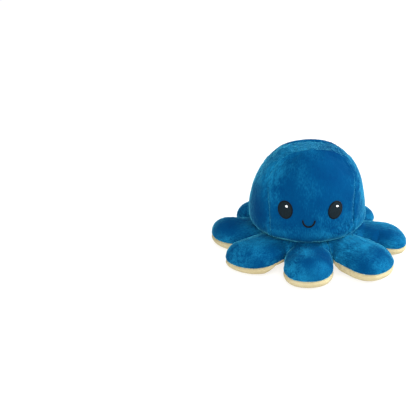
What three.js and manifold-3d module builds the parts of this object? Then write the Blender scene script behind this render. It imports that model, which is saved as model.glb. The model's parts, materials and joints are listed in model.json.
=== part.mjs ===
// A stuffed plush octopus, built as it is sewn: three head panels and eight two-piece arms round a
// neck band, a flat base panel, the stuffing inside them and the embroidered face on the front panel.
// Millimetres, +Z up. The face looks towards -Y, and right is +X. The origin is on the table, under
// the middle of the ring of arms.

import * as THREE from 'three';
import { mergeVertices } from 'three/addons/utils/BufferGeometryUtils.js';
import Module from 'manifold-3d';

const wasm = await Module();
wasm.setup();

// Cloth and sewing
const clothThickness = 1.8;
const seamGap = 0.3;
const stuffingGap = 0.5;
const threadThickness = 0.8;
const cutOverrun = 5;

// Head
const headRadius = 59.3;
const headWidestHeight = 46;
const headTopHeight = 113.2;
const neckRadius = 45;
const neckHeight = 26.5;
const headSideShift = -1.8;
const crownLean = 6;
const crownPower = 1.8;
const flankPower = 2.35;
const jawSteps = 4;
const crownSteps = 11;
const headSides = 48;

// The gusset runs over the crown between the front and back panels, narrow on top and wide at the
// jaw, where its half width is a share of the head's
const panelTurn = 6.5;
const gussetCrownHalfWidth = 12;
const gussetJawShare = 0.715;
const gussetRisePower = 2.2;
const gussetFallPower = 2.3;
const gussetSteps = 20;

// Neck band and base panel
const bandRadius = 40;
const bandFlareSteps = 4;
const baseEdgeRound = 0.6;

// Arms: sizes of a full arm, which each arm takes a share of
const armReach = 100;
const armHalfWidth = 25;
const armCrestHeight = 28;
const armSeamHeight = 8;
const armTipLift = 2;
const armRootHalfHeight = 12.6;
const armRootGap = 0.4;
const armSideGap = 0.8;
const armFlatCut = 0.5;
const armWidestShare = 0.46;
const tipPower = 2.3;
const rootPower = 4;
const crestPower = 2.35;
const rootCrestPower = 3.4;
const keelPower = 2.5;
const armSides = 22;
const armRings = 4;

// The arms are sewn in at even turns from the front, and each takes its shares of the full arm. Its
// sway bends the tip to the side, towards a larger turn where it is positive.
const armShares = [
  { name: 'front', reach: 0.985, width: 0.99, crest: 0.98, seam: 1.2, lift: 0, sway: 0 },
  { name: 'front_right', reach: 1.08, width: 1.02, crest: 1, seam: 1.2, lift: 0, sway: -0.035 },
  { name: 'right', reach: 1, width: 0.94, crest: 0.88, seam: 1.05, lift: 1, sway: -0.06 },
  { name: 'back_right', reach: 0.915, width: 0.88, crest: 0.88, seam: 1, lift: 0, sway: 0.035 },
  { name: 'back', reach: 0.96, width: 0.98, crest: 0.96, seam: 1, lift: 0, sway: 0 },
  { name: 'back_left', reach: 0.96, width: 0.86, crest: 1, seam: 1, lift: 0, sway: 0.035 },
  { name: 'left', reach: 1.02, width: 0.88, crest: 1, seam: 1.3, lift: 0, sway: -0.157 },
  { name: 'front_left', reach: 0.95, width: 0.94, crest: 1, seam: 1.1, lift: 0, sway: -0.13 },
];

// Embroidered face
const faceTurn = 3.5;
const eyeSpacing = 48.4;
const faceTilt = 1.6;
const eyeHeight = 64.6;
const eyeWidth = 13.8;
const eyeTallness = 17.4;
const eyeTilt = 7;
const eyeSides = 20;
const eyeRingShares = [0.6, 1];
const glintWidth = 3.6;
const glintTallness = 2.6;
const glintTilt = -25;
const glintAside = 1.7;
const glintAbove = 3.9;
const glintSides = 10;
const glintRingShares = [1];
const smileTop = 56;
const smileDepth = 6.6;
const smileHalfWidth = 5.7;
const smileShift = -1.5;
const smileThread = 1.5;
const smileSteps = 14;

// Colours
const blueColour = 0x07578f;
const creamColour = 0xd8caa4;
const stuffingColour = 0xf4f4f0;
const eyeColour = 0x121d22;
const glintColour = 0xf6f8f8;

// Worked-out sizes
const hingeHeight = neckHeight / 2;
const hingeRadius = bandRadius + armRootGap + armRootHalfHeight;
const stuffingInset = clothThickness + stuffingGap;
const bandBottom = clothThickness + seamGap;
const halfGap = seamGap / 2;
const quarterTurn = Math.PI / 2;

const cloth = (color) => new THREE.MeshStandardMaterial({ color, roughness: 0.95, metalness: 0 });
const blueCloth = cloth(blueColour);
const creamCloth = cloth(creamColour);
const stuffingFibre = cloth(stuffingColour);
const eyeThread = new THREE.MeshStandardMaterial({ color: eyeColour, roughness: 0.5, metalness: 0 });
const glintThread = new THREE.MeshStandardMaterial({ color: glintColour, roughness: 0.5, metalness: 0 });

const octopus = new THREE.Group();

function addPiece(name, geometry, material) {
  const mesh = new THREE.Mesh(geometry, material);
  mesh.name = name;
  octopus.add(mesh);
}

// Solids and cuts

function solidOf(geometry) {
  const bare = geometry.clone();
  bare.deleteAttribute('normal');
  bare.deleteAttribute('uv');
  const merged = mergeVertices(bare, seamGap / 100);
  return new wasm.Manifold(new wasm.Mesh({
    numProp: 3,
    vertProperties: new Float32Array(merged.attributes.position.array),
    triVerts: new Uint32Array(merged.index.array),
  }));
}

function geometryOf(solid) {
  const mesh = solid.getMesh();
  const geometry = new THREE.BufferGeometry();
  geometry.setAttribute('position', new THREE.BufferAttribute(mesh.vertProperties, mesh.numProp));
  geometry.setIndex(new THREE.BufferAttribute(mesh.triVerts, 1));
  return geometry;
}

// A closed skin from one end point over rings of points to another end point. The rings run
// counter-clockwise seen from the first end.
function skinOver(firstEnd, rings, lastEnd) {
  const sides = rings[0].length;
  const points = [firstEnd, ...rings.flat(), lastEnd];
  const index = [];
  const at = (ring, side) => 1 + ring * sides + (side % sides);
  for (let side = 0; side < sides; side += 1) {
    index.push(0, at(0, side), at(0, side + 1));
    for (let ring = 0; ring + 1 < rings.length; ring += 1) {
      index.push(at(ring, side), at(ring + 1, side), at(ring + 1, side + 1));
      index.push(at(ring, side), at(ring + 1, side + 1), at(ring, side + 1));
    }
    index.push(points.length - 1, at(rings.length - 1, side + 1), at(rings.length - 1, side));
  }
  const geometry = new THREE.BufferGeometry().setFromPoints(points);
  geometry.setIndex(index);
  return geometry;
}

// Body profile

// The head's half width at a height, before it leans
function headRadiusAt(height) {
  if (height < headWidestHeight) {
    const share = (headWidestHeight - height) / (headWidestHeight - neckHeight);
    return headRadius - (headRadius - neckRadius) * share ** 2;
  }
  const share = Math.min(1, (height - headWidestHeight) / (headTopHeight - headWidestHeight));
  return headRadius * (1 - share ** crownPower) ** (1 / flankPower);
}

// How far the head's middle lies to the right at a height
function headMiddleAt(height) {
  const jawShare = (height - neckHeight) / (headWidestHeight - neckHeight);
  const crownShare = (height - headWidestHeight) / (headTopHeight - headWidestHeight);
  const clamp = THREE.MathUtils.clamp;
  return headSideShift * clamp(jawShare, 0, 1) + crownLean * clamp(crownShare, 0, 1) ** 2;
}

function headProfile() {
  const points = [];
  for (let step = 0; step < jawSteps; step += 1) {
    const height = THREE.MathUtils.lerp(neckHeight, headWidestHeight, step / jawSteps);
    points.push(new THREE.Vector2(headRadiusAt(height), height));
  }
  for (let step = 0; step <= crownSteps; step += 1) {
    const rise = Math.sin((step / crownSteps) * quarterTurn);
    const height = THREE.MathUtils.lerp(headWidestHeight, headTopHeight, rise);
    points.push(new THREE.Vector2(headRadiusAt(height), height));
  }
  return points;
}

function bandProfile() {
  const points = [new THREE.Vector2(bandRadius, bandBottom)];
  for (let step = 0; step <= bandFlareSteps; step += 1) {
    const share = step / bandFlareSteps;
    points.push(new THREE.Vector2(
      THREE.MathUtils.lerp(bandRadius, neckRadius, share ** 2),
      THREE.MathUtils.lerp(hingeHeight, neckHeight, share),
    ));
  }
  return points;
}

// The profile moved into the body, square to itself
function insetProfile(points, inset) {
  return points.map((point, index) => {
    const before = points[Math.max(0, index - 1)];
    const after = points[Math.min(points.length - 1, index + 1)];
    const along = after.clone().sub(before).normalize();
    const moved = point.clone().add(new THREE.Vector2(-along.y, along.x).multiplyScalar(inset));
    if (point.x === 0) moved.set(0, point.y - inset);
    return moved;
  });
}

// Turns a profile round the body's axis and leans it as the head leans
function turned(points, sides) {
  const geometry = new THREE.LatheGeometry(points, sides);
  geometry.rotateX(quarterTurn);
  const position = geometry.attributes.position;
  for (let index = 0; index < position.count; index += 1) {
    position.setX(index, position.getX(index) + headMiddleAt(position.getZ(index)));
  }
  return geometry;
}

// Head panels

function headShell() {
  const outer = headProfile();
  const rim = neckHeight + halfGap;
  outer[0].y = rim;
  const inner = insetProfile(headProfile(), clothThickness);
  inner[0].y = neckHeight - cutOverrun;
  const outside = turned([new THREE.Vector2(0, rim), ...outer], headSides);
  const inside = turned([new THREE.Vector2(0, neckHeight - cutOverrun), ...inner], headSides);
  return solidOf(outside).subtract(solidOf(inside));
}

// Half the gusset's width at a height, from front seam to back seam
function gussetHalfWidthAt(height) {
  const jawWidth = gussetJawShare * headRadiusAt(Math.min(height, headWidestHeight));
  const rise = (height - headWidestHeight) / (headTopHeight - headWidestHeight);
  const fall = (1 - THREE.MathUtils.clamp(rise, 0, 1) ** gussetRisePower) ** gussetFallPower;
  return THREE.MathUtils.lerp(gussetCrownHalfWidth, jawWidth, fall);
}

// The block that holds the front panel: all that lies before the gusset's front seam
function panelBlock(growth) {
  const shape = new THREE.Shape();
  const front = headRadius + cutOverrun;
  const bottom = neckHeight - cutOverrun;
  const top = headTopHeight + cutOverrun;
  shape.moveTo(front, bottom);
  shape.lineTo(front, top);
  shape.lineTo(gussetCrownHalfWidth - growth, top);
  for (let step = gussetSteps; step >= 0; step -= 1) {
    const height = THREE.MathUtils.lerp(neckHeight, headTopHeight, step / gussetSteps);
    shape.lineTo(gussetHalfWidthAt(height) - growth, height);
  }
  shape.lineTo(gussetHalfWidthAt(neckHeight) - growth, bottom);
  const depth = 2 * (headRadius + cutOverrun);
  const block = new THREE.ExtrudeGeometry(shape, { depth, bevelEnabled: false });
  block.translate(0, 0, -depth / 2);
  block.rotateX(quarterTurn);
  return block.rotateZ(-quarterTurn);
}

function addHeadPanels() {
  const shell = headShell();
  const turn = THREE.MathUtils.degToRad(panelTurn);
  const blockAt = (growth, angle) => solidOf(panelBlock(growth).rotateZ(angle));
  addPiece('head_front_panel', geometryOf(shell.intersect(blockAt(-halfGap, turn))), blueCloth);
  addPiece('head_back_panel', geometryOf(shell.intersect(blockAt(-halfGap, turn + Math.PI))), blueCloth);
  const gusset = shell.subtract(blockAt(halfGap, turn)).subtract(blockAt(halfGap, turn + Math.PI));
  addPiece('head_gusset', geometryOf(gusset), blueCloth);
}

// One ball of stuffing fills the head and reaches down through the neck to the base
function addHeadStuffing() {
  const whole = [...bandProfile().slice(0, -1), ...headProfile()];
  const inset = insetProfile(whole, stuffingInset);
  inset[0].y = stuffingInset;
  const points = [new THREE.Vector2(0, stuffingInset), ...inset];
  addPiece('head_stuffing', turned(points, headSides / 2), stuffingFibre);
}

function addNeckBand() {
  const outer = bandProfile();
  const inner = insetProfile(outer, clothThickness).reverse();
  const top = neckHeight - halfGap;
  outer[outer.length - 1].y = top;
  inner[0].y = top;
  inner[inner.length - 1].y = bandBottom;
  addPiece('neck_band', turned([...outer, ...inner, outer[0].clone()], headSides), blueCloth);
}

function addBasePanel() {
  const points = [
    new THREE.Vector2(0, 0),
    new THREE.Vector2(bandRadius - baseEdgeRound, 0),
    new THREE.Vector2(bandRadius, baseEdgeRound),
    new THREE.Vector2(bandRadius, clothThickness),
    new THREE.Vector2(0, clothThickness),
  ];
  addPiece('base_panel', turned(points, headSides), creamCloth);
}

// Arms

// A signed power of a sine or cosine, which squares up a round outline
const squared = (value, power) => Math.sign(value) * Math.abs(value) ** (2 / power);

// One arm's own sizes, along it from its hinge line, across it and up from the table
function armSizes(share) {
  const length = armReach * share.reach - hingeRadius;
  return {
    length,
    widest: length * armWidestShare,
    halfWidth: armHalfWidth * share.width,
    crest: armCrestHeight * share.crest,
    seam: armSeamHeight * share.seam,
    lift: armTipLift * share.lift,
    sway: armReach * share.sway,
  };
}

// The arm's outline from above, which is its seam, moved inwards by an inset. Beside its root it
// stays clear of the line between it and its neighbour.
function armOutline(arm, inset, sides) {
  const wedge = Math.tan(Math.PI / armShares.length);
  const points = [];
  for (let side = 0; side < sides; side += 1) {
    const angle = (side / sides) * 2 * Math.PI;
    const towardsTip = Math.cos(angle) >= 0;
    const power = towardsTip ? tipPower : rootPower;
    const far = towardsTip ? arm.length - arm.widest : arm.widest + armRootHalfHeight;
    const outerAlong = arm.widest + far * squared(Math.cos(angle), power);
    const limit = (hingeRadius + outerAlong) * wedge - armSideGap - inset;
    const across = (arm.halfWidth - inset) * squared(Math.sin(angle), power);
    points.push({
      rootward: Math.max(0, -Math.cos(angle)),
      along: arm.widest + (far - inset) * squared(Math.cos(angle), power),
      across: Math.sign(across) * Math.min(Math.abs(across), limit),
      seamHeight: armSeamAt(arm, outerAlong),
    });
  }
  return points;
}

function armSeamAt(arm, along) {
  const share = THREE.MathUtils.clamp(along / arm.length, 0, 1);
  return THREE.MathUtils.lerp(hingeHeight, arm.seam, share) + arm.lift * share ** 2;
}

// Rings of one half of an arm, from the seam to the crest above it or the keel below it. The root is
// fuller than the tip, and rounded about the line that the arm turns on.
function armHalfRings(arm, { up, inset, gap, sides }) {
  const outline = armOutline(arm, inset, sides);
  const tipSidePower = up ? crestPower : keelPower;
  const crest = arm.crest - inset;
  const keel = inset - armFlatCut;
  const rings = [];
  for (let ring = 0; ring <= armRings; ring += 1) {
    const angle = (ring / armRings) * quarterTurn;
    rings.push(outline.map((point) => {
      const power = THREE.MathUtils.lerp(tipSidePower, rootCrestPower, point.rootward);
      const plan = squared(Math.cos(angle), power);
      const swell = squared(Math.sin(angle), power);
      const along = arm.widest + (point.along - arm.widest) * plan;
      const sway = arm.sway * THREE.MathUtils.clamp(along / arm.length, 0, 1) ** 2;
      const seam = point.seamHeight + gap;
      const swollen = up ? seam + (crest - seam) * swell : Math.max(inset, seam + (keel - seam) * swell);
      const capReach = Math.sqrt(Math.max(0, (armRootHalfHeight - inset) ** 2 - Math.min(0, along) ** 2));
      const capReachHere = Math.max(capReach, Math.abs(seam - hingeHeight));
      const capped = THREE.MathUtils.clamp(swollen, hingeHeight - capReachHere, hingeHeight + capReachHere);
      const height = along < 0 ? capped : swollen;
      return new THREE.Vector3(along + hingeRadius, point.across * plan + sway, height);
    }));
  }
  return { rings: rings.slice(0, -1), end: rings[armRings][0] };
}

function armShell(arm, up) {
  const gap = up ? halfGap : -halfGap;
  const outer = armHalfRings(arm, { up, inset: 0, gap, sides: armSides });
  const inner = armHalfRings(arm, { up, inset: clothThickness, gap, sides: armSides });
  const above = up ? outer : inner;
  const below = up ? inner : outer;
  return skinOver(above.end, [...above.rings.reverse(), ...below.rings], below.end);
}

function armStuffing(arm) {
  const sides = armSides / 2;
  const above = armHalfRings(arm, { up: true, inset: stuffingInset, gap: 0, sides });
  const below = armHalfRings(arm, { up: false, inset: stuffingInset, gap: 0, sides });
  return skinOver(above.end, [...above.rings.reverse(), ...below.rings.slice(1)], below.end);
}

function addArms() {
  for (const [place, share] of armShares.entries()) {
    const arm = armSizes(share);
    const turn = (place / armShares.length) * 2 * Math.PI - quarterTurn;
    addPiece(`arm_${share.name}_top`, armShell(arm, true).rotateZ(turn), blueCloth);
    addPiece(`arm_${share.name}_underside`, armShell(arm, false).rotateZ(turn), creamCloth);
    addPiece(`arm_${share.name}_stuffing`, armStuffing(arm).rotateZ(turn), stuffingFibre);
  }
}

// Face

// A point over the front of the head, this far to the right of the face's middle and this high,
// standing off the cloth by a distance. The face is tilted about the middle between the eyes.
function facePoint(right, up, standOff) {
  const tilt = THREE.MathUtils.degToRad(faceTilt);
  const aside = right * Math.cos(tilt) + (up - eyeHeight) * Math.sin(tilt);
  const height = eyeHeight + (up - eyeHeight) * Math.cos(tilt) - right * Math.sin(tilt);
  const turn = THREE.MathUtils.degToRad(faceTurn);
  const surface = (x, z) => {
    const point = new THREE.Vector3(x, -Math.sqrt(headRadiusAt(z) ** 2 - x ** 2), z);
    point.applyAxisAngle(new THREE.Vector3(0, 0, 1), turn);
    point.x += headMiddleAt(z);
    return point;
  };
  const here = surface(aside, height);
  const rightwards = surface(aside + threadThickness, height).sub(here);
  const upwards = surface(aside, height + threadThickness).sub(here);
  const outwards = rightwards.cross(upwards).normalize();
  return here.addScaledVector(outwards, standOff);
}

// An oval of satin stitch that follows the head
function facePatch({ aside, height, width, tallness, tilt, sides, ringShares, standOff }) {
  const lean = THREE.MathUtils.degToRad(tilt);
  const ringAt = (share, lift) => {
    const points = [];
    for (let side = 0; side < sides; side += 1) {
      const angle = (side / sides) * 2 * Math.PI;
      const across = Math.cos(angle) * share * (width / 2);
      const up = Math.sin(angle) * share * (tallness / 2);
      points.push(facePoint(
        aside + across * Math.cos(lean) + up * Math.sin(lean),
        height + up * Math.cos(lean) - across * Math.sin(lean),
        lift,
      ));
    }
    return points;
  };
  const top = standOff + threadThickness;
  const outer = ringShares.map((share) => ringAt(share, top));
  const inner = ringShares.map((share) => ringAt(share, standOff)).reverse();
  const ends = [facePoint(aside, height, top), facePoint(aside, height, standOff)];
  return skinOver(ends[0], [...outer, ...inner], ends[1]);
}

function addEyes() {
  for (const [name, side] of [['left', -1], ['right', 1]]) {
    const eyeAside = (side * eyeSpacing) / 2;
    addPiece(`eye_${name}`, facePatch({
      aside: eyeAside,
      height: eyeHeight,
      width: eyeWidth,
      tallness: eyeTallness,
      tilt: side * eyeTilt,
      sides: eyeSides,
      ringShares: eyeRingShares,
      standOff: seamGap,
    }), eyeThread);
    addPiece(`eye_${name}_glint`, facePatch({
      aside: eyeAside + glintAside,
      height: eyeHeight + glintAbove,
      width: glintWidth,
      tallness: glintTallness,
      tilt: -glintTilt,
      sides: glintSides,
      ringShares: glintRingShares,
      standOff: seamGap + threadThickness + seamGap,
    }), glintThread);
  }
}

// The smile is one line of thread along a half oval
function addSmile() {
  const rings = [];
  const half = smileThread / 2;
  const lineAt = (angle, out) => ({
    aside: smileShift + (smileHalfWidth + out) * Math.sin(angle),
    height: smileTop - (smileDepth + out) * Math.cos(angle),
  });
  const pointAt = (angle, out, lift) => {
    const place = lineAt(angle, out);
    return facePoint(place.aside, place.height, seamGap + lift);
  };
  for (let step = 0; step <= smileSteps; step += 1) {
    const angle = THREE.MathUtils.lerp(-quarterTurn, quarterTurn, step / smileSteps);
    rings.push([
      pointAt(angle, -half, 0),
      pointAt(angle, half, 0),
      pointAt(angle, half, threadThickness / 2),
      pointAt(angle, 0, threadThickness),
      pointAt(angle, -half, threadThickness / 2),
    ]);
  }
  const endAt = (ring) => ring[0].clone().add(ring[1]).add(ring[3]).divideScalar(3);
  addPiece('smile', skinOver(endAt(rings[0]), rings, endAt(rings[smileSteps])), eyeThread);
}

addHeadPanels();
addHeadStuffing();
addNeckBand();
addBasePanel();
addArms();
addEyes();
addSmile();

export default octopus;
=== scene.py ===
"""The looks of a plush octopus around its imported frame: a head of three sewn panels, eight plump
two-tone arms that bend at the neck, a flat base and an embroidered face.

Lengths are in millimetres until a mesh is made. The floor and the lights are placed in metres. +Z is
up and the face looks towards -Y.
"""

import json
import math
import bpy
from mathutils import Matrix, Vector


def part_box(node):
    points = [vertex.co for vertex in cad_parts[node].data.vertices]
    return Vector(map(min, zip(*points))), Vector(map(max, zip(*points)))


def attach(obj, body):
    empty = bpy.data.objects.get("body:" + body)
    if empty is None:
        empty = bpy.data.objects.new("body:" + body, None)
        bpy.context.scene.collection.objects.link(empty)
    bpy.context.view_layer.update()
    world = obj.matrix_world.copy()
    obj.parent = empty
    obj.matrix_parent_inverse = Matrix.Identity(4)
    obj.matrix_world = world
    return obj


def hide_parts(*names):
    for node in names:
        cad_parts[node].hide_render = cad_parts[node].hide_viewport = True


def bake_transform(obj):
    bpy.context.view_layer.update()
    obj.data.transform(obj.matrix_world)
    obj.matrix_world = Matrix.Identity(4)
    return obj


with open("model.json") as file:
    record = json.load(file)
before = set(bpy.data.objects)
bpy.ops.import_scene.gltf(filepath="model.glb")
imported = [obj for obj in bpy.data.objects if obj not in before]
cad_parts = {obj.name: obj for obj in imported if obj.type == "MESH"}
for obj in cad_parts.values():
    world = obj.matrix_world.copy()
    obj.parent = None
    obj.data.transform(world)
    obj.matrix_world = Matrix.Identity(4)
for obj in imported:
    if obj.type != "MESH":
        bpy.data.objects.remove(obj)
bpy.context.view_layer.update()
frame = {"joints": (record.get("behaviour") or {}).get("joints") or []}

from types import SimpleNamespace

import bpy
import numpy as np
from mathutils import Matrix, Vector, kdtree, noise

MM = 0.001


def highest_corner(node):
    """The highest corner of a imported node's box"""
    return [float(size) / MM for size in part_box(node)[1]]


# Frame: where the head, the neck and the arms' hinges are
first_hinge = frame["joints"][0]["pos_m"]
hinge_radius = math.hypot(first_hinge[0], first_hinge[1]) / MM
hinge_height = first_hinge[2] / MM
half_node_gap = 0.15
neck_radius = highest_corner("neck_band")[0]
neck_height = highest_corner("neck_band")[2] + half_node_gap
band_radius = highest_corner("base_panel")[0]
head_top_height = highest_corner("head_gusset")[2]

# Cloth and sewing: a cover turns in at its seams, where it is thicker by the allowance
cloth_thickness = 1.6
seam_gap = 0.1
seam_allowance = 2.2
seam_allowance_width = 1.5

# Head
head_radius = 59.3
head_widest_height = 46
head_centre = np.array([0, 0, head_widest_height])
head_side_shift = -1.8
crown_lean = 5
crown_power = 1.8
flank_power = 2.45
panel_turn = 6.5
panel_shoulder_share = 0.34
gusset_crown_half_width = 12
gusset_jaw_share = 0.715
gusset_rise_power = 2.2
gusset_fall_power = 2.3

# How the filling swells the crown, flattens its top, sags into the jaw and squares a shoulder
puff_start = 62
puff_height = 0.9
crown_sink = 0.8
jaw_sag = 2.4
shoulder_place = (-27, 5, 106)
shoulder_reach = 19
shoulder_height = 2.7

# Arms, as shares of the full arm, at even turns from the front. The sway bends the tip aside, and
# the web to a neighbour curls up or hollows out before or after the arm
arm_reach = 100
arm_half_width = 25
arm_crest_height = 28
arm_seam_height = 8
arm_tip_lift = 2
arm_widest_share = 0.46
tip_power = 2.3
root_power = 8
crest_power = 2.35
root_crest_power = 3.4
keel_power = 3
keel_overrun = 0.5
arm_shares = [
    dict(name="front", reach=1, width=0.965, crest=0.98, seam=1.32, lift=0, sway=-0.008),
    dict(name="front_right", reach=1.08, width=1.02, crest=1, seam=1.38, lift=0, sway=-0.035,
         curl_before=1.3),
    dict(name="right", reach=0.985, width=1.02, crest=0.87, seam=1.12, lift=0.4, sway=-0.1),
    dict(name="back_right", reach=0.905, width=0.88, crest=0.88, seam=1, lift=0, sway=0.035),
    dict(name="back", reach=0.96, width=0.98, crest=0.96, seam=1, lift=0, sway=0),
    dict(name="back_left", reach=0.985, width=0.86, crest=1, seam=1, lift=0, sway=0.035),
    dict(name="left", reach=1.02, width=0.87, crest=1, seam=0.95, lift=0.4, sway=-0.152),
    dict(name="front_left", reach=0.957, width=0.97, crest=1.08, seam=1.03, lift=0, sway=-0.12,
         curl_after=1.5, hollow_after=9),
]
half_wedge = math.pi / len(arm_shares)

# Where an arm's skin is sewn to the neck and to its neighbours
arm_side_gap = 0.1
swell_room = 0.3
root_reach = 12.2
root_round_radius = 58
band_clearance = 0.35
band_overrun_share = 1.1
collar_height = 29
jaw_clearance = 0.6
web_neck_height = 26.5
web_crotch_radius = 62
web_crotch_height = 13.6
web_power = 1.9
web_fade = 0.35
web_fillet = 1.6
wall_ring_share = 0.05
under_root_height = 1.2
under_crotch_height = 12.6
under_power = 1.25
under_crotch_slope = 0.6
under_least = 1.4
sole_least = 0.2
sole_fade = 4

# Relief of the cloth: stuffing lumps, brushed nap and the dip and puckers beside a seam
lump_spacing = 26
lump_depth = 0.55
wave_spacing = 9
wave_depth = 0.22
nap_length = 5
nap_width = 2.2
nap_depth = 0.16
groove_depth = 0.45
groove_width = 0.9
dip_depth = 0.35
dip_width = 4
pucker_spacing = 4
pucker_length = 18
pucker_depth = 0.15
pucker_reach = 6
noise_seed_step = 7.31

# Cloth simulation: slack cloth sewn to a shorter seam, blown up from inside
cloth_frames = 20
cloth_slack_reach = 6
cloth_cap = 1.6
cloth_step = 2
cloth_settings = dict(
    vertex_group_mass="sewn", vertex_group_shrink="taut", shrink_min=-0.048, shrink_max=0,
    use_pressure=True, uniform_pressure_force=4, tension_stiffness=15, compression_stiffness=15,
    shear_stiffness=5, bending_stiffness=0.5, mass=0.3, quality=6)

# Ruffled pile, whose value also carries painted light and shade: from the least, where it lies flat or
# is painted darkest, to 1, where it stands up or is painted lightest
least_ruffle = -0.5
seam_ruffle = 0.4
ruffle_spacing = 20
ruffle_reach = 12
head_ruffle_swing = 0.5
arm_ruffle = 0.27
arm_ruffle_swing = 0.85

# Patches that lighten the pile where positive and darken it where negative, partly where it was brushed
# up or down and partly as painted light and shade, such as light on top of the head and shade on its
# left side and in the creases at the neck: the patch's middle, its reach and how much
nap_and_shade_patches = [
    ((-34, -33, 92), 21, 0.7),
    ((-20, -6, 107), 14, 0.6),
    ((0, 24, 109), 14, 0.1),
    ((20, -8, 110), 16, -0.7),
    ((38, -20, 94), 14, -0.4),
    ((26, -42, 80), 14, -0.3),
    ((52, -15, 70), 13, 0.8),
    ((-50, -14, 60), 18, -0.8),
    ((-42, -38, 56), 16, -0.4),
    ((8, -58, 56), 15, 0.35),
    ((28, -48, 38), 14, 0.8),
    ((42, -36, 36), 13, 0.4),
    ((-12, -62, 26), 11, 0.3),
    ((-10, -86, 20), 12, 0.4),
    ((8, -70, 27), 12, -0.4),
    ((18, -78, 16), 13, -1.1),
    ((48, -46, 27), 15, 1.1),
    ((50, -68, 18), 7, -0.8),
    ((78, -62, 14), 11, -0.5),
    ((60, -22, 24), 10, -0.5),
    ((80, -15, 18), 13, -0.4),
    ((84, 8, 24), 13, 0.8),
    ((-66, -42, 24), 17, 1),
    ((-72, -54, 18), 13, 0.7),
    ((-42, -58, 20), 12, -0.8),
    ((-80, -5, 26), 13, -0.4),
    ((-66, 40, 26), 14, 0.6),
]

# Panels: the length and width of the head's cloth, and what sets the noise in a panel apart
head_panels = dict(
    front=dict(node="head_front_panel", length=105, width=85, seed=0, nap_and_shade=0.03, ruffle_seed=3),
    back=dict(node="head_back_panel", length=105, width=85, seed=10, nap_and_shade=0.07, ruffle_seed=3),
    gusset=dict(node="head_gusset", length=245, width=60, seed=20, nap_and_shade=0.07, ruffle_seed=4),
)
arm_seed = 30
arm_seed_step = 10
arm_grain_step = 50

# Embroidered face
face_turn = 3.5
face_tilt = 1.6
face_probe = 0.5
eye_spacing = 48.4
eye_height = 64.1
eye_width = 14.2
eye_tallness = 17.4
eye_tilt = 7
eye_sink = 0.2
eye_border_share = 0.84
eye_border_rise = 0.25
eye_dent_share = 0.75
eye_dent_width = 0.55
glint_width = 2.6
glint_tallness = 1.9
glint_tilt = 25
glint_aside = 1.3
glint_above = 3.6
glint_sink = 0.3
smile_top = 56
smile_depth = 6.6
smile_half_width = 5.9
smile_shift = -1.3
smile_thread = 1.5
smile_rise = 0.55
smile_roundness = 0.96
smile_dent_width = 2.5
smile_taper = 0.16
smile_end_share = 0.2
thread_pitch = 0.8
thread_rise = 0.07
thread_lean = 0.25
border_grain_step = 5
stitch_height = 0.9
stitch_sink = 0.5
stitch_edge_share = 0.98

# Neck, base and filling
neck_cover_low = 2.1
neck_cover_drop = 0.2
neck_cover_thickness = 1.4
neck_gathers = 40
neck_gather_depth = 0.25
base_thickness = 1.8
base_outline_shares = [
    (0, 0), (0.5, 0), (0.75, 0), (0.965, 0), (0.9925, 0.28), (1, 0.61), (0.9925, 0.89), (0.97, 1),
    (0.75, 1), (0.5, 1), (0, 1)]
head_fill_inset = 6.6
head_fill_low = 2.4
head_fill_bottom = 2.6
head_fill_tip = 1
arm_fill_inset = 8
fill_room = 6
fill_least = 0.5
fill_lump_spacing = 14
fill_lump_depth = 0.7
fill_seed = 71

# Floor and lights, in metres
floor_reach = 6
floor_grey = 0.42
floor_glow = 0.67
world_strength = 0.75
light_target = (0, 0, 0.05)
lights = [
    ("key", (0.45, -0.3, 1.25), dict(size=0.8, energy=3.8, color=(1, 0.98, 0.95))),
    ("rim", (0.95, 0.1, 0.5), dict(size=0.5, energy=13, color=(0.95, 0.98, 1))),
    ("fill", (-0.02, -0.95, 0.5), dict(size=0.8, energy=8.2, color=(1, 1, 1))),
]

# Camera: the view's tilt and distance, and how many pixels right of the middle of the frame and below
# it the origin lies
frame_pixels = 416
origin_right = 100.5
origin_below = 38.3
camera_tilt = 26
camera_distance = 1020
focal_pixels = 974
sensor_width = 36
nearest_seen = 10

# Grid points, cells and steps
head_panel_points = (101, 93)
gusset_points = (221, 61)
arm_top_cells = 80
arm_under_cells = 56
arm_fill_cells = 24
eye_cells = 80
glint_cells = 24
smile_points = (120, 13)
profile_steps = 4000
panel_edge_steps = 2000
head_seam_steps = 600
jaw_steps = 200
outline_steps = 6001
arm_seam_outline_steps = 1201
arm_seam_steps = 500
halvings = 40
neck_cover_rings = 16
neck_cover_sides = 160
base_sides = 120
fill_sides = 96
fill_rings = dict(neck=14, jaw=10, crown=40)


def ease(share):
    """0 to 1 with a soft start and end"""
    share = np.clip(share, 0, 1)
    return share * share * (3 - 2 * share)


def lerp(first, last, share):
    return first + (last - first) * share


def share_of(value, first, last, most=1):
    """How far a value lies from the first to the last, from 0 to the most"""
    return np.clip((value - first) / (last - first), 0, most)


def bell(distance, reach):
    """1 at no distance, and close to 0 at twice the reach"""
    return np.exp(-((distance / reach) ** 2))


def squared(value, power):
    """A signed power of a sine or cosine, which squares up a round outline"""
    return np.sign(value) * np.abs(value) ** (2 / power)


def soft_maximum(first, second, width):
    """The larger of two, with a fillet where they cross"""
    spare = np.maximum(width - np.abs(first - second), 0)
    return np.maximum(first, second) + spare ** 2 / (4 * width)


def soft_minimum(first, second, width):
    return -soft_maximum(-first, -second, width)


def joined(x, y, z):
    """Points from their coordinates, which can be single numbers too"""
    return np.stack(np.broadcast_arrays(x, y, z), -1)


def round_axis(radius, angle, height):
    """Points round the body's axis"""
    return joined(radius * np.cos(angle), radius * np.sin(angle), height)


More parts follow.
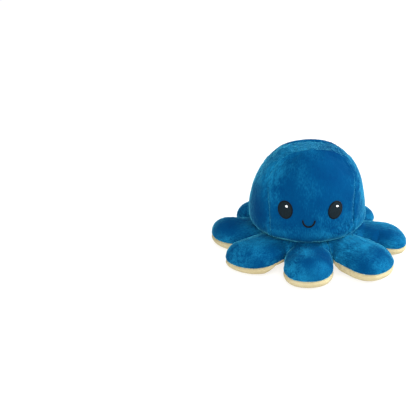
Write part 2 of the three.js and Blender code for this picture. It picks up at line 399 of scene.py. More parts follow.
def turned(points, degrees):
    """Points turned about the body's axis"""
    angle = math.radians(degrees)
    x = points[..., 0] * math.cos(angle) - points[..., 1] * math.sin(angle)
    y = points[..., 0] * math.sin(angle) + points[..., 1] * math.cos(angle)
    return joined(x, y, points[..., 2])


def unit(vectors):
    return vectors / np.maximum(np.linalg.norm(vectors, axis=-1, keepdims=True), 1e-9)


def waves(points, seed):
    """Smooth noise from about -1 to 1, with bumps about one unit apart"""
    flat = points.reshape(-1, 3) + seed * noise_seed_step
    return np.array([noise.noise(point) for point in flat.tolist()]).reshape(points.shape[:-1])


def distance_along(points):
    """How far along a line of points each of them lies"""
    steps = np.linalg.norm(np.diff(points, axis=0), axis=1)
    return np.concatenate([[0], np.cumsum(steps)])


def rows_between(rows, places, count):
    """A number of even steps through rows of values that lie at places"""
    wanted = np.linspace(places[0], places[-1], count)
    return np.stack([np.interp(wanted, places, column) for column in rows.T], -1)


def evenly(points, count):
    """Points at even distances along a line of points"""
    return rows_between(points, distance_along(points), count)


# Meshes

def grid_normals(points):
    """Normals of a grid of points, from the cells round each"""
    face = np.cross(points[1:, 1:] - points[:-1, :-1], points[:-1, 1:] - points[1:, :-1])
    total = np.zeros_like(points)
    total[:-1, :-1] += face
    total[1:, :-1] += face
    total[:-1, 1:] += face
    total[1:, 1:] += face
    return unit(total)


def outward_normals(points, inside):
    """Normals that point away from a place or grid inside, and whether the points' own order gives
    normals that point inwards"""
    normals = grid_normals(points)
    middle = tuple(size // 2 for size in points.shape[:2])
    inwards = np.dot(normals[middle], (points - inside)[middle]) < 0
    return (-normals if inwards else normals), inwards


def grid_index(points):
    """The index of each point of a grid"""
    rows, columns = points.shape[:2]
    return np.arange(rows * columns).reshape(rows, columns)


def grid_cells(index):
    """The four indices round each cell"""
    corners = [index[:-1, :-1], index[:-1, 1:], index[1:, 1:], index[1:, :-1]]
    return np.stack(corners, -1).reshape(-1, 4)


def grid_rim(index):
    """The indices along a grid's rim, once round"""
    return np.concatenate([index[0], index[1:, -1], index[-1, -2::-1], index[-2:0:-1, 0]])


def disc_grid(cells):
    """A square grid drawn onto a disc: each point's distance from the middle and turn"""
    side = np.linspace(-1, 1, cells + 1)
    x, y = np.meshgrid(side, side, indexing="ij")
    wide = np.abs(x) > np.abs(y)
    reach = np.where(wide, np.abs(x), np.abs(y))
    safe_x, safe_y = np.where(x == 0, 1, x), np.where(y == 0, 1, y)
    turn = np.where(wide, y / safe_x + np.where(x < 0, 4, 0), 2 - x / safe_y + np.where(y < 0, 4, 0))
    return reach, (turn / 8) % 1


def rings_round(profile, sides):
    """A ring of points round the body's axis for each radius and height of a profile"""
    angle = np.linspace(0, 2 * math.pi, sides, endpoint=False)
    return round_axis(profile[:, :1], angle, profile[:, 1:])


def ring_faces(rings, closed):
    """Faces between rings of points, and from the last ring to the first where the mesh is closed"""
    return grid_cells(np.pad(grid_index(rings), ((0, int(closed)), (0, 1)), mode="wrap")).tolist()


def set_all(thing, settings):
    for key, value in settings.items():
        setattr(thing, key, value)


def add_object(name, data, **settings):
    """An object in the scene, with settings on its data"""
    made = bpy.data.objects.new(name, data)
    bpy.context.scene.collection.objects.link(made)
    set_all(data, settings)
    return made


def add_mesh(name, points, faces, grain, material, nap_and_shade=None):
    """A smooth piece whose points know where they lie in the nap and how ruffled it is there, a value
    that also carries painted light and shade
    """
    mesh = bpy.data.meshes.new(name)
    mesh.from_pydata((points.reshape(-1, 3) * MM).tolist(), [], faces)
    mesh.shade_smooth()
    held = mesh.attributes.new("grain", "FLOAT_VECTOR", "POINT")
    held.data.foreach_set("vector", grain.astype(np.float32).ravel())
    if nap_and_shade is not None:
        held = mesh.attributes.new("nap_and_shade", "FLOAT", "POINT")
        held.data.foreach_set("value", nap_and_shade.astype(np.float32).ravel())
    mesh.materials.append(material)
    return add_object(name, mesh)


def add_shell(name, outer, inner, grain, material, nap_and_shade=None):
    """A closed sheet of cloth between two grids of points"""
    index = grid_index(outer)
    cells, rim = grid_cells(index), grid_rim(index)
    after = np.roll(rim, -1)
    sides = np.stack([rim + index.size, after + index.size, after, rim], -1)
    faces = np.concatenate([cells, cells[:, ::-1] + index.size, sides])
    if not outward_normals(outer, inner)[1]:
        faces = faces[:, ::-1]
    both_nap_and_shade = None if nap_and_shade is None else np.stack([nap_and_shade, nap_and_shade])
    return add_mesh(name, np.stack([outer, inner]), faces.tolist(), np.stack([grain, grain]),
                    material, both_nap_and_shade)


def stand_for(piece, node, body=None):
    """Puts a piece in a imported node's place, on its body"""
    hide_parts(node)
    if body is not None:
        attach(piece, body)


# Seams

class Seam:
    """A seam's line, with the distance along it"""

    def __init__(self, points):
        self.place = distance_along(points)
        self.tree = kdtree.KDTree(len(points))
        for index, point in enumerate(points.tolist()):
            self.tree.insert(point, index)
        self.tree.balance()

    def near(self, points):
        """How far each point is from the seam, and how far along the seam"""
        found = [self.tree.find(point) for point in points.reshape(-1, 3).tolist()]
        distance = np.array([hit[2] for hit in found]).reshape(points.shape[:-1])
        place = self.place[[hit[1] for hit in found]].reshape(points.shape[:-1])
        return distance, place


def nearest_of(seams, points):
    """How far each point is from the nearest of some seams"""
    return np.min([seam.near(points)[0] for seam in seams], axis=0)


def add_cover(name, smooth, normals, height, seams, grain, material, nap_and_shade, turn=0):
    """A sheet of plush that stands out from a smooth grid by a height, and is thicker where it turns
    in at a seam. It is made before its turn about the body's axis."""
    outer = smooth + normals * height[..., None]
    outer[..., 2] = np.maximum(outer[..., 2], 0)
    beside = bell(nearest_of(seams, smooth), seam_allowance_width)
    inner = outer - normals * (cloth_thickness + seam_allowance * beside)[..., None]
    return add_shell(name, turned(outer, turn), turned(inner, turn), grain, material, nap_and_shade)


def relief(points, grain, seams, seed):
    """How far the cloth stands out from its smooth form"""
    height = lump_depth * waves(points / lump_spacing, seed)
    height += wave_depth * waves(points / wave_spacing, seed + 1)
    height += nap_depth * waves(grain / np.array([nap_length, nap_width, nap_width]), seed + 2)
    for seam in seams:
        distance, place = seam.near(points)
        height -= groove_depth * bell(distance, groove_width)
        height -= dip_depth * np.exp(-distance / dip_width)
        puckers = waves(joined(place / pucker_spacing, distance / pucker_length, 0), seed + 3)
        height += pucker_depth * puckers * np.exp(-distance / pucker_reach)
    return height


def nap_and_shade_at(points, seams, least, swing, seed, turn=0):
    """How far the pile stands up, with painted light and shade: more beside seams, here and there, and
    lighter or darker in the listed patches of brushed nap and painted light and shade.
    Turn is how far the points are turned to their place."""
    nap_and_shade = least + seam_ruffle * np.exp(-nearest_of(seams, points) / ruffle_reach)
    nap_and_shade += swing * waves(points / ruffle_spacing, seed + 5)
    placed_points = turned(points, turn)
    # The listed patches lighten or darken the pile, partly as brushed nap and partly as painted light
    # and shade
    for middle, reach, strength in nap_and_shade_patches:
        distance = np.linalg.norm(placed_points - np.array(middle), axis=-1)
        nap_and_shade += strength * bell(distance, reach)
    return np.clip(nap_and_shade, least_ruffle, 1)


# Cloth

def add_sewn_sheet(points, inwards):
    """A sheet of cloth that is pinned along its rim and has slack away from it"""
    index = grid_index(points)
    cells, rim = grid_cells(index), grid_rim(index)
    flat = points.reshape(-1, 3)
    mesh = bpy.data.meshes.new("cloth")
    mesh.from_pydata((flat * MM).tolist(), [], (cells if inwards else cells[:, ::-1]).tolist())
    sheet = add_object("cloth", mesh)
    sheet.vertex_groups.new(name="sewn").add(rim.tolist(), 1, "REPLACE")
    taut = sheet.vertex_groups.new(name="taut")
    from_rim = Seam(flat[rim]).near(flat)[0]
    for number, weight in enumerate(1 - np.exp(-from_rim / cloth_slack_reach)):
        taut.add([number], weight, "REPLACE")
    cloth = sheet.modifiers.new("cloth", "CLOTH")
    set_all(cloth.settings, cloth_settings)
    cloth.settings.effector_weights.gravity = 0
    cloth.collision_settings.use_collision = False
    cloth.point_cache.frame_end = cloth_frames
    return sheet


def sewn_lift(points, inside):
    """How far a panel's cloth lifts and puckers when it is a little too large for the seam round it
    and the stuffing pushes from inside, found by simulation on every second point"""
    coarse = points[::cloth_step, ::cloth_step]
    normals, inwards = outward_normals(coarse, inside)
    sheet = add_sewn_sheet(coarse, inwards)
    for frame_number in range(1, cloth_frames + 1):
        bpy.context.scene.frame_set(frame_number)
    blown = np.empty(coarse.size)
    depsgraph = bpy.context.evaluated_depsgraph_get()
    sheet.evaluated_get(depsgraph).data.vertices.foreach_get("co", blown)
    moved = blown.reshape(coarse.shape) / MM - coarse
    lift = np.clip((moved * normals).sum(-1), -cloth_cap, cloth_cap)
    bpy.data.objects.remove(sheet)
    bpy.context.scene.frame_set(1)
    for count in points.shape[:2]:
        lift = rows_between(lift, np.arange(len(lift)), count).T
    return lift


# Materials: a rate is how many bumps of noise lie along and across the grain in a millimetre, or
# along each axis in a metre where the noise follows the place

def linear(red, green, blue):
    """A colour given as it shows on screen, from 0 to 255, as the shader takes it"""
    return tuple((value / 255 / 12.92 if value < 11 else ((value / 255 + 0.055) / 1.055) ** 2.4)
                 for value in (red, green, blue))


def feed(tree, node, inputs):
    """Gives a node's inputs, by name or number, their values or other nodes' outputs"""
    for socket, source in inputs.items():
        if isinstance(source, bpy.types.NodeSocket):
            tree.links.new(source, node.inputs[socket])
        else:
            node.inputs[socket].default_value = source


def add_node(tree, kind, inputs=None, **settings):
    node = tree.nodes.new(kind)
    set_all(node, settings)
    feed(tree, node, inputs or {})
    return node


def new_material(name, inputs):
    """A material whose shader has these values on its own sockets"""
    material = bpy.data.materials.new(name)
    material.use_nodes = True
    shader = material.node_tree.nodes["Principled BSDF"]
    feed(material.node_tree, shader, inputs)
    return material, material.node_tree, shader


def attribute_at(tree, name, output):
    return add_node(tree, "ShaderNodeAttribute", attribute_name=name).outputs[output]


def noise_at(tree, vector, rate, detail, roughness=0.5):
    """Noise on coordinates that are first scaled by axis"""
    scaled = add_node(tree, "ShaderNodeVectorMath", {0: vector, 1: rate}, operation="MULTIPLY")
    return add_node(tree, "ShaderNodeTexNoise", {
        "Vector": scaled.outputs[0], "Scale": 1, "Detail": detail,
        "Roughness": roughness}).outputs["Fac"]


def multiply_add(tree, value, factor, added):
    """A value times a factor and something added, each of them an output or a number"""
    inputs = {0: value, 1: factor, 2: added}
    return add_node(tree, "ShaderNodeMath", inputs, operation="MULTIPLY_ADD").outputs[0]


def weighted_sum(tree, parts, middle):
    """The sum of some outputs times their weights, with its middle where the outputs have theirs"""
    total = middle - sum(weight for _, weight in parts) / 2
    for output, weight in parts:
        total = multiply_add(tree, output, weight, total)
    return total


def add_colours(tree, shader, factor, stops):
    """Colours the surface by a factor, from stops of a place and a colour"""
    ramp = add_node(tree, "ShaderNodeValToRGB", {"Fac": factor})
    elements = ramp.color_ramp.elements
    while len(elements) < len(stops):
        elements.new(0.5)
    for element, (place, colour) in zip(elements, stops):
        element.position = place
        element.color = (*colour, 1)
    feed(tree, shader, {"Base Color": ramp.outputs["Color"]})


def add_bump(tree, shader, height, strength, depth):
    """Bumps of a depth in millimetres"""
    bump = add_node(tree, "ShaderNodeBump", {
        "Height": height, "Strength": strength, "Distance": depth * MM})
    feed(tree, shader, {"Normal": bump.outputs["Normal"]})


def plush(name, dark, middle, light, sheen_tint, sheen_weight):
    """Short brushed pile: a calm shade, and patches and streaks where the nap is ruffled, which also
    carry painted light and shade into the colour
    """
    material, tree, shader = new_material(name, {
        "Roughness": 0.9, "Specular IOR Level": 0.02, "Sheen Weight": sheen_weight,
        "Sheen Roughness": 0.24, "Sheen Tint": (*sheen_tint, 1)})
    grain = attribute_at(tree, "grain", "Vector")
    nap_and_shade = attribute_at(tree, "nap_and_shade", "Fac")
    place = add_node(tree, "ShaderNodeTexCoord").outputs["Object"]
    patches = noise_at(tree, place, rate=(32, 32, 40), detail=2)
    mottle = noise_at(tree, grain, rate=(0.14, 0.26, 0.26), detail=4, roughness=0.65)
    strands = noise_at(tree, grain, rate=(0.4, 1.2, 1.2), detail=2, roughness=0.6)
    calm = weighted_sum(tree, [(patches, 0.5), (mottle, 0.06), (strands, 0.4)], middle=0.44)
    unruly = weighted_sum(tree, [(patches, 0.5), (mottle, 1), (strands, 0.6)], middle=0.26)
    # Where the pile is ruffled the unruly shade comes in, and the same value paints light and shade
    # from the patches
    shade = multiply_add(tree, unruly, nap_and_shade, calm)
    add_colours(tree, shader, shade, [(0.1, dark), (0.45, middle), (0.95, light)])
    pile = weighted_sum(tree, [(strands, 1), (mottle, 0.8)], middle=0.5)
    add_bump(tree, shader, pile, strength=0.55, depth=0.6)
    return material


def satin(name, dark, light, roughness):
    """Satin stitch: threads side by side, each with its own shade"""
    material, tree, shader = new_material(name, {
        "Roughness": roughness, "Specular IOR Level": 0.1})
    grain = attribute_at(tree, "grain", "Vector")
    threads = noise_at(tree, grain, rate=(0.12, 2.2, 1), detail=2)
    twist = noise_at(tree, grain, rate=(1.2, 3.4, 1), detail=1)
    shade = weighted_sum(tree, [(threads, 1.2), (twist, 0.5)], middle=0.5)
    add_colours(tree, shader, shade, [(0.2, dark), (0.8, light)])
    add_bump(tree, shader, threads, strength=0.5, depth=0.3)
    return material


def fibre(name, dark, light):
    """Loose polyester fibre"""
    material, tree, shader = new_material(name, {"Roughness": 1, "Sheen Weight": 0.3})
    place = add_node(tree, "ShaderNodeTexCoord").outputs["Object"]
    tufts = noise_at(tree, place, rate=(160, 160, 160), detail=6, roughness=0.7)
    add_colours(tree, shader, tufts, [(0.3, dark), (0.7, light)])
    add_bump(tree, shader, tufts, strength=0.8, depth=1)
    return material


def paper(name):
    """A plain pale floor that glows a little, so that it stays pale in soft light"""
    return new_material(name, {
        "Base Color": (floor_grey, floor_grey, floor_grey, 1), "Emission Color": (1, 1, 1, 1),
        "Emission Strength": floor_glow, "Roughness": 1, "Specular IOR Level": 0})[0]


blue_plush = plush(
    "blue_plush", dark=linear(0, 42, 89), middle=linear(0, 61, 105), light=linear(20, 114, 156),
    sheen_tint=(0.1, 0.66, 0.9), sheen_weight=0.8)
cream_plush = plush(
    "cream_plush", dark=linear(162, 146, 108), middle=linear(178, 165, 128),
    light=linear(193, 182, 147), sheen_tint=(1, 0.97, 0.88), sheen_weight=0.2)
stuffing_fibre = fibre("stuffing_fibre", dark=linear(214, 214, 208), light=linear(248, 248, 244))
eye_fill_thread = satin("eye_fill_thread", linear(4, 16, 22), linear(12, 28, 36), roughness=0.6)
eye_border_thread = satin("eye_border_thread", linear(2, 5, 7), linear(6, 12, 16), roughness=0.5)
glint_thread = satin("glint_thread", linear(225, 230, 232), linear(252, 253, 253), roughness=0.45)
floor_paper = paper("floor_paper")


# Head

def jaw_rise(height):
    """0 at the neck and 1 where the head is widest"""
    return share_of(height, neck_height, head_widest_height)


def crown_rise(height):
    """0 where the head is widest and 1 at its top"""
    return share_of(height, head_widest_height, head_top_height)


def head_radius_at(height):
    """The head's half width at a height, before it leans"""
    jaw = lerp(head_radius, neck_radius, (1 - jaw_rise(height)) ** 2)
    crown = head_radius * (1 - crown_rise(height) ** crown_power) ** (1 / flank_power)
    return np.where(height < head_widest_height, jaw, crown)


def leaned(points):
    """Points moved aside as the head leans at their height"""
    height = points[..., 2]
    moved = points.copy()
    moved[..., 0] += head_side_shift * jaw_rise(height) + crown_lean * crown_rise(height) ** 2
    return moved


def placed(points, side="front"):
    """A panel's points, made as if for the front, turned and leaned to their place"""
    return leaned(turned(points, panel_turn + (180 if side == "back" else 0)))


def gusset_half_width_at(height):
    jaw = gusset_jaw_share * head_radius_at(np.minimum(height, head_widest_height))
    fall = (1 - crown_rise(height) ** gusset_rise_power) ** gusset_fall_power
    return lerp(gusset_crown_half_width, jaw, fall)


def seam_line(shift, count):
    """The front seam, left to right over the crown, moved forwards by a shift, before the turn"""
    heights = np.linspace(neck_height, head_top_height, profile_steps)
    radius = head_radius_at(heights)
    depth = gusset_half_width_at(heights) + shift
    kept = radius > depth
    side = np.sqrt(radius[kept] ** 2 - depth[kept] ** 2)
    right = joined(side, -depth[kept], heights[kept])
    left = right * np.array([-1, 1, 1])
    return evenly(np.concatenate([left, right[::-1]]), count)


def neck_arc(first, last, count):
    """Points on the neck's edge between two of them, the short way round"""
    start = math.atan2(first[1], first[0])
    sweep = (math.atan2(last[1], last[0]) - start + math.pi) % (2 * math.pi) - math.pi
    return round_axis(neck_radius, start + sweep * np.linspace(0, 1, count), neck_height)


def on_head(points):
    """Points moved out from the head's middle to its surface, before the turn and lean"""
    direction = unit(points - head_centre)
    near = np.zeros(points.shape[:-1])
    far = np.full(points.shape[:-1], 2.0 * head_top_height)
    for _ in range(halvings):
        middle = (near + far) / 2
        place = head_centre + direction * middle[..., None]
        height = np.clip(place[..., 2], neck_height, head_top_height)
        beyond = np.hypot(place[..., 0], place[..., 1]) > head_radius_at(height)
        beyond |= place[..., 2] > head_top_height
        near = np.where(beyond, near, middle)
        far = np.where(beyond, middle, far)
    return head_centre + direction * near[..., None]


def patch_between(bottom, top, left, right):
    """A grid of points that fills four lines, bottom and top with one count, left and right another"""
    across = np.linspace(0, 1, len(bottom))[None, :, None]
    up = np.linspace(0, 1, len(left))[:, None, None]
    corners = lerp(lerp(bottom[0], bottom[-1], across), lerp(top[0], top[-1], across), up)
    return lerp(bottom, top, up) + lerp(left[:, None], right[:, None], across) - corners


def face_panel_points():
    """The grid of a front panel, which the back panel shares"""
    rows, columns = head_panel_points
    line = seam_line(seam_gap / 2, panel_edge_steps)
    left_end = int(panel_edge_steps * panel_shoulder_share)
    right_end = int(panel_edge_steps * (1 - panel_shoulder_share))
    left = evenly(line[:left_end], rows)
    right = evenly(line[right_end:][::-1], rows)
    top = evenly(line[left_end - 1:right_end + 1], columns)
    top[0], top[-1] = left[-1], right[-1]
    bottom = neck_arc(left[0], right[0], columns)
    return on_head(patch_between(bottom, top, left, right))


def gusset_panel_points():
    """The grid of the gusset, from one side of the neck over the crown to the other"""
    rows, columns = gusset_points
    front = seam_line(-seam_gap / 2, rows)
    back = front * np.array([1, -1, 1])
    start = neck_arc(front[0], back[0], columns)
    end = neck_arc(front[-1], back[-1], columns)
    return on_head(patch_between(start, end, front, back))


def grain_of(shape, length, width, aside):
    """Where each point lies along and across the nap, and aside from other cloth's nap"""
    along, across = np.meshgrid(
        np.linspace(0, length, shape[0]), np.linspace(0, width, shape[1]), indexing="ij")
    return joined(along, across, aside)


def head_puff(height):
    """How far the filling pushes the crown out, and its weight the jaw"""
    rise = share_of(height, puff_start, head_top_height)
    crown = puff_height * np.sin(math.pi * rise) - crown_sink * rise ** 4
    return crown + jaw_sag * np.sin(math.pi * jaw_rise(height)) ** 2


def shoulder_lump(points):
    """The lump of filling that squares the head's shoulder on one side"""
    distance = np.linalg.norm(points - np.array(shoulder_place), axis=-1)
    return shoulder_height * bell(distance, shoulder_reach)


def jaw_above(radius):
    """The height of the head's underside at a distance from the axis"""
    heights = np.linspace(neck_height, head_widest_height, jaw_steps)
    slope = np.gradient(head_radius_at(heights), heights)
    down = slope / np.hypot(1, slope)
    puff = head_puff(heights)
    reach = head_radius_at(heights) + puff * np.sqrt(1 - down ** 2)
    return np.interp(radius, reach, heights - puff * down, right=head_top_height)


def face_place(right, up):
    """The smooth head's surface at a place on the face, and the way out from it"""
    tilt = math.radians(face_tilt)
    aside = right * math.cos(tilt) + (up - eye_height) * math.sin(tilt)
    height = eye_height + (up - eye_height) * math.cos(tilt) - right * math.sin(tilt)

    def surface(x, z):
        point = joined(x, -np.sqrt(head_radius_at(z) ** 2 - x ** 2), z)
        return leaned(turned(point, face_turn))

    here = surface(aside, height)
    rightwards = surface(aside + face_probe, height) - here
    upwards = surface(aside, height + face_probe) - here
    return here, unit(np.cross(rightwards, upwards))


def smile_place(angle, out=0.0):
    """A place at an angle on the half oval of the smile, moved out, and the way out from the head"""
    return face_place(
        smile_shift + (smile_half_width + out) * np.sin(angle),
        smile_top - (smile_depth + out) * np.cos(angle))


def stitch_depth(points):
    """How far the face's stitches pull the pile in, as a share"""
    deepest = np.zeros(points.shape[:-1])
    for side in (-1, 1):
        middle, _ = face_place(side * eye_spacing / 2, eye_height)
        distance = np.linalg.norm(points - middle, axis=-1) / (eye_tallness / 2)
        deepest = np.maximum(deepest, 1 - ease((distance - eye_dent_share) / eye_dent_width))
    smile_line, _ = smile_place(np.linspace(-math.pi / 2, math.pi / 2, smile_points[0]))
    distance, _ = Seam(smile_line).near(points)
    return np.maximum(deepest, 1 - ease((distance - smile_thread / 2) / smile_dent_width))


def add_head_panel(side, smooth, near_seams):
    """A panel over a grid of points. The neck's seam is the last of its seams, and ruffles nothing."""
    panel = head_panels[side]
    grain = grain_of(smooth.shape, panel["length"], panel["width"], panel["seed"])
    normals, _ = outward_normals(smooth, head_centre)
    height = relief(smooth, grain, near_seams, panel["seed"]) + head_puff(smooth[..., 2])
    height += shoulder_lump(smooth) + sewn_lift(smooth, head_centre)
    if side == "front":
        height = lerp(height, -stitch_sink, stitch_depth(smooth))
    nap_and_shade = nap_and_shade_at(smooth, near_seams[:-1], panel["nap_and_shade"], head_ruffle_swing, panel["ruffle_seed"])
    cover = add_cover(
        f"head_{side}_cover", smooth, normals, height, near_seams, grain, blue_plush, nap_and_shade)
    stand_for(cover, panel["node"], body="body")


def add_head():
    """The front, back and gusset panels"""
    half_turn = np.linspace(0, math.pi, head_seam_steps // 2)
    turns = np.concatenate([half_turn, half_turn + math.pi])
    neck_seam = Seam(leaned(round_axis(neck_radius, turns, neck_height)))
    seams = {side: Seam(placed(seam_line(0, head_seam_steps), side)) for side in ("front", "back")}
    for side, seam in seams.items():
        add_head_panel(side, placed(face_panel_points(), side), [seam, neck_seam])
    add_head_panel("gusset", placed(gusset_panel_points()), [*seams.values(), neck_seam])


# Arms: each is made pointing along +X from the body's axis, and then turned

def arm_sizes(number):
    """An arm's body, its turn from +X and its sizes"""
    share = arm_shares[number]
    length = arm_reach * share["reach"] - hinge_radius
    return SimpleNamespace(
        body=f"arm_{share['name']}",
        turn=number / len(arm_shares) * 360 - 90,
        length=length,
        widest=length * arm_widest_share,
        half_width=arm_half_width * share["width"],
        crest=arm_crest_height * share["crest"],
        seam=arm_seam_height * share["seam"],
        lift=arm_tip_lift * share["lift"],
        sway=arm_reach * share["sway"],
        slope_before=under_crotch_slope * share.get("curl_before", 1),
        slope_after=under_crotch_slope * share.get("curl_after", 1),
        hollow_after=share.get("hollow_after", 0),
    )


arms = [arm_sizes(number) for number in range(len(arm_shares))]


def arm_outline(arm, angle, inset):
    """The seam's outline from above at an angle round the arm's widest place, and how far that angle
    looks to the root"""
    cosine, sine = np.cos(angle), np.sin(angle)
    tipward = cosine >= 0
    power = np.where(tipward, tip_power, root_power)
    far = np.where(tipward, arm.length - arm.widest, arm.widest + root_reach)
    along = arm.widest + (far - inset) * squared(cosine, power)
    edge = (hinge_radius + along) * math.tan(half_wedge)
    limit = edge - arm_side_gap - max(0, inset - swell_room)
    across = np.clip((arm.half_width - inset) * squared(sine, power), -limit, limit)
    return along, across, np.maximum(0, -cosine)


def arm_seam_at(arm, along):
    """The height of the seam between an arm's covers"""
    share = share_of(along, 0, arm.length)
    return lerp(hinge_height, arm.seam, share) + arm.lift * share ** 2


def arm_middle(arm):
    return np.array([hinge_radius + arm.widest, 0, arm_seam_at(arm, arm.widest)])


def swayed(arm, along, across):
    """A place across an arm, moved as its tip bends aside"""
    return across + arm.sway * share_of(along, 0, arm.length) ** 2


def arm_half(arm, cells, up, inset=0.0, sewn=True):
    """A grid of points over the upper or lower half of an arm. A sewn half runs on to the neck and
    its neighbours, and the filling's is drawn in by an inset."""
    rim_inset = swell_room if sewn else inset
    turns = np.linspace(0, 2 * math.pi, outline_steps)
    place = distance_along(np.stack(arm_outline(arm, turns, rim_inset)[:2], -1))
    reach, turn = disc_grid(cells)
    angle = np.interp(turn * place[-1], place, turns)
    along, across, rootward = arm_outline(arm, angle, rim_inset)
    ring = (1 - reach) * math.pi / 2
    power = lerp(crest_power if up else keel_power, root_crest_power, rootward)
    plan = np.cos(ring) ** (2 / power)
    swell = np.sin(ring) ** (2 / power)
    seam = arm_seam_at(arm, along)
    along = arm.widest + (along - arm.widest) * plan
    across = across * plan
    if up:
        height = seam + seam_gap / 2 + (arm.crest - inset - seam) * swell
    else:
        height = seam - seam_gap / 2 - (seam + keel_overrun - inset) * swell
        height = np.maximum(inset, height)
    radius = np.hypot(hinge_radius + along, across)
    direction = np.arctan2(across, hinge_radius + along)
    side = np.clip(np.abs(direction) / half_wedge, 0, 1)
    web = web_underside(arm, radius, direction, side)
    if sewn:
        height, radius = sewn_in(height, radius, side, ring, seam, web, up)
    else:
        height = np.maximum(height, web + fill_room + (fill_least if up else 0))
    along = radius * np.cos(direction) - hinge_radius
    across = swayed(arm, along, radius * np.sin(direction))
    return joined(hinge_radius + along, across, height)


def web_underside(arm, radius, direction, side):
    """How high the web to the nearer neighbour lifts an arm's underside"""
    slope = np.where(direction > 0, arm.slope_after, arm.slope_before)
    hollow = np.where(direction > 0, arm.hollow_after, 0)
    from_crotch = (1 - side) * half_wedge
    gap = np.hypot(radius * np.cos(from_crotch) - web_crotch_radius, radius * np.sin(from_crotch))
    return under_crotch_height - slope * np.maximum(0, gap - hollow)


def sewn_in(height, radius, side, ring, seam, web, up):
    """Carries an arm's root on to the neck, and its sides down to the webs between the arms. Side is
    0 along the arm's middle and 1 where it meets its neighbour."""
    wall = ease(ring / (math.pi / 2) / wall_ring_share)
    radius = rounded_root(radius, side)
    wanted = over_web(height, radius, side) if up else under_web(height, radius, seam, web)
    height = height + wall * (wanted - height)
    return height, np.maximum(radius, band_radius_at(height, band_overrun_share) + band_clearance)


def rounded_root(radius, side):
    """Draws the straight edge of an arm's root on to a circle round the base"""
    edge = (hinge_radius - root_reach) / np.cos(side * half_wedge)
    share = (radius - edge) / (root_round_radius - edge)
    rounded = np.maximum(lerp(band_radius, root_round_radius, share), band_radius)
    return np.where(radius < root_round_radius, rounded, radius)


def over_web(height, radius, side):
    """An arm's top, raised to the webs beside it and kept under the jaw"""
    outwards = share_of(radius, neck_radius, web_crotch_radius)
    valley = lerp(web_neck_height, web_crotch_height, outwards ** web_power)
    crest = lerp(collar_height, web_crotch_height, outwards ** (2 * web_power))
    floor = lerp(valley, crest, np.cos(math.pi / 2 * side) ** 2)
    beyond = np.maximum(0, radius - web_crotch_radius)
    raised = soft_maximum(height, floor - web_fade * beyond ** 2, web_fillet)
    return np.minimum(raised, jaw_above(radius) - jaw_clearance)


def under_web(height, radius, seam, web):
    """An arm's underside, lowered to the base at its root and raised to the webs beside it"""
    from_base = share_of(radius, band_radius, web_crotch_radius)
    roof = lerp(under_root_height, under_crotch_height, from_base ** under_power)
    lowered = soft_minimum(height, np.where(radius > web_crotch_radius, seam, roof), web_fillet)
    lifted = soft_maximum(lowered, web, web_fillet)
    return np.maximum(sole_least, soft_minimum(lifted, seam - under_least, web_fillet))


def band_radius_at(height, most=1):
    """The neck's radius at a height, which flares from the hinges' height to the head"""
    return lerp(band_radius, neck_radius, share_of(height, hinge_height, neck_height, most) ** 2)


def add_arm_cover(arm, number, seam, up):
    """An arm's top or underside"""
    half = "top" if up else "underside"
    material, slot = (blue_plush, "blue_plush") if up else (cream_plush, "cream_plush")
    smooth = arm_half(arm, arm_top_cells if up else arm_under_cells, up)
    grain = smooth + np.array([0, 0, arm_grain_step * number])
    normals, _ = outward_normals(smooth, arm_middle(arm))
    height = relief(smooth, grain, [seam], arm_seed + arm_seed_step * number)
    height += sewn_lift(smooth, arm_middle(arm))
    if not up:
        height = height * ease(smooth[..., 2] / sole_fade)
    nap_and_shade = nap_and_shade_at(smooth, [seam], arm_ruffle, arm_ruffle_swing, number, arm.turn)
    cover = add_cover(f"{arm.body}_{half}_cover", smooth, normals, height, [seam], grain,
                      material, nap_and_shade, arm.turn)
    stand_for(cover, f"{arm.body}_{half}")
    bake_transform(cover)


def add_arms():
    for number, arm in enumerate(arms):
        turns = np.linspace(0, 2 * math.pi, arm_seam_outline_steps)
        along, across, _ = arm_outline(arm, turns, swell_room)
        points = joined(hinge_radius + along, swayed(arm, along, across), arm_seam_at(arm, along))
        seam = Seam(evenly(points, arm_seam_steps))
        add_arm_cover(arm, number, seam, up=True)
        add_arm_cover(arm, number, seam, up=False)


# Face

def add_stitches(name, points, normals, dome, bottom, grain, material):
    """Stitches that stand out from places on the head by a dome, and reach in to a bottom"""
    outer, inner = points + normals * dome[..., None], points + normals * bottom
    return add_shell(name, outer, inner, grain, material)


def add_patch(name, aside, height, width, tallness, tilt, cells, lift, material, border=None):
    """An oval of satin stitch that follows the head"""
    reach, turn = disc_grid(cells)
    angle = turn * 2 * math.pi
    across = reach * np.cos(angle) * width / 2
    up = reach * np.sin(angle) * tallness / 2
    lean = math.radians(tilt)
    points, normals = face_place(
        aside + across * math.cos(lean) + up * math.sin(lean),
        height + up * math.cos(lean) - across * math.sin(lean))
    dome = stitch_height * np.sqrt(1 - reach ** 4) + lift
    ridges = np.cos(2 * math.pi * across / thread_pitch)
    grain = joined(up, across, 0)
    if border is not None:
        on_border = reach > border
        threads_round = round(math.pi * (width + tallness) / 2 / thread_pitch)
        ridges = np.where(on_border, np.cos(angle * threads_round), ridges)
        swell = 1 - ((reach - (1 + border) / 2) / ((1 - border) / 2)) ** 2
        dome += eye_border_rise * np.maximum(0, swell)
        round_grain = joined(reach * width, angle * width / 2, border_grain_step)
        grain = np.where(on_border[..., None], round_grain, grain)
    dome += thread_rise * ridges * (reach < stitch_edge_share)
    piece = add_stitches(name, points, normals, dome, lift - stitch_sink, grain, material)
    if border is not None:
        piece.data.materials.append(eye_border_thread)
        border_cells = reach.ravel()[grid_cells(grid_index(reach))].mean(-1) > border
        index = np.ones(len(piece.data.polygons), np.int32)
        index[:border_cells.size] = border_cells
        piece.data.polygons.foreach_set("material_index", index)
    return piece


